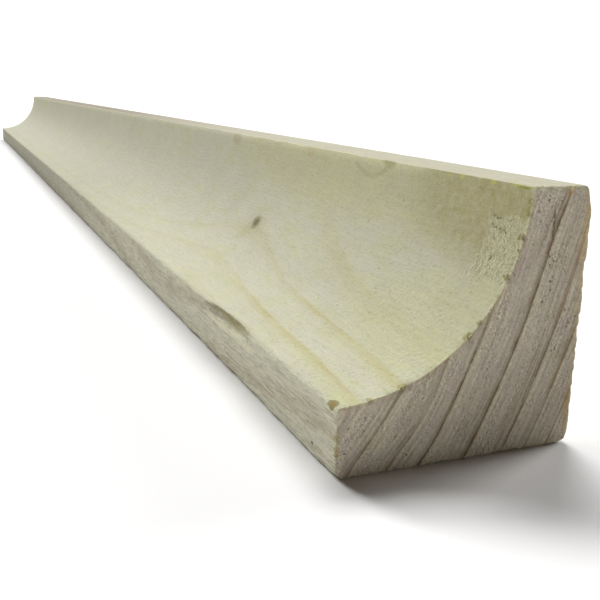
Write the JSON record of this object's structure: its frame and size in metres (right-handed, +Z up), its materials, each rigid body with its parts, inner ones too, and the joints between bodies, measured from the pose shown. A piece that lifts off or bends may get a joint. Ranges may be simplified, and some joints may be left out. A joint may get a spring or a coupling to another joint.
{
  "type": "corner moulding",
  "caption": "Straight length of softwood cove moulding with a square section hollowed on one corner by a quarter round, cut square at both ends.",
  "frame": {"origin": "centre of the underside", "axes": "+Z up, +Y along the length away from the worn end, +X towards the tall back face"},
  "size_m": [0.028, 0.515, 0.028],
  "materials": {
    "softwood": "bare planed softwood with sawn ends"
  },
  "bodies": {
    "root": {"corner_moulding": "softwood"}
  },
  "joints": []
}
